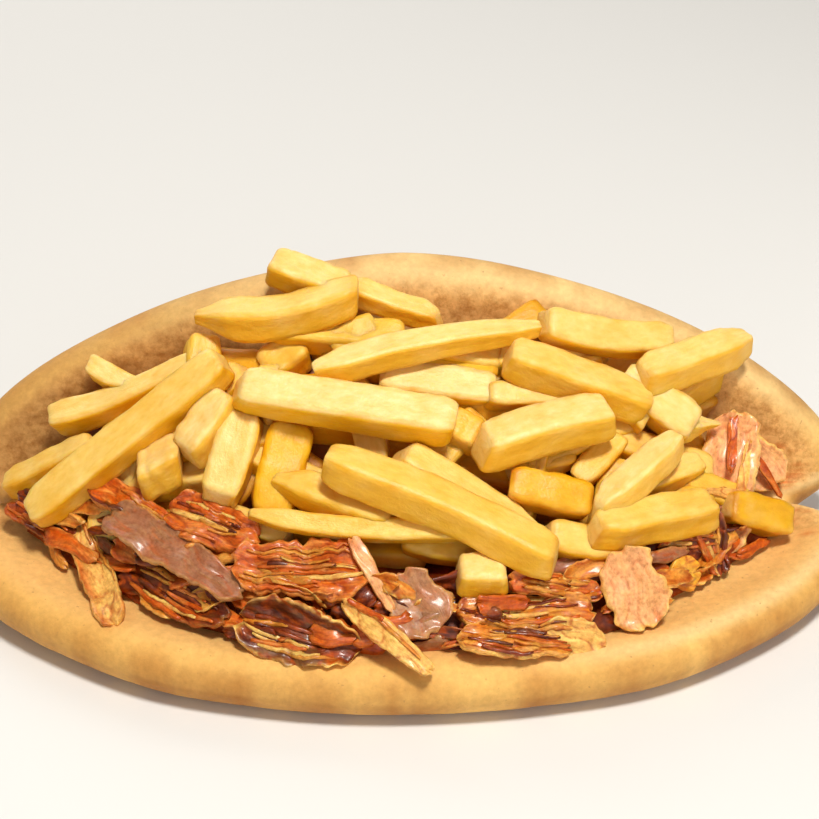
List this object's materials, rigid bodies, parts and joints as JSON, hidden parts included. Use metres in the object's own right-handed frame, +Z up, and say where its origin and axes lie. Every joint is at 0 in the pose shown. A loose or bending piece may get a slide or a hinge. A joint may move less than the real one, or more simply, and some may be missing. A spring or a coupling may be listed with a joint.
{
  "type": "doner kebab sandwich half",
  "caption": "Folded oval flatbread, open along the front, filled with shaved doner meat along the lower lip and a heap of thick-cut golden fries against the standing upper flap.",
  "frame": {"origin": "Centre of the flat underside of the lower flap, on the surface that the sandwich rests on.", "axes": "+X along the fold, to the right of a viewer who faces the opening; +Y from the lower lip toward the fold and the standing flap; +Z up from the flat underside."},
  "size_m": [0.289, 0.1331, 0.0972],
  "materials": {
    "bread": "baked flatbread crust, matt, golden with darker toasted patches",
    "meat": "roasted shaved meat, brown edges and pale tan faces, slightly greasy",
    "fries": "fried potato, pale yellow with golden sides, slightly oily"
  },
  "bodies": {
    "root": {"bread": "bread", "doner_meat": "meat", "fries": "fries"}
  },
  "joints": []
}
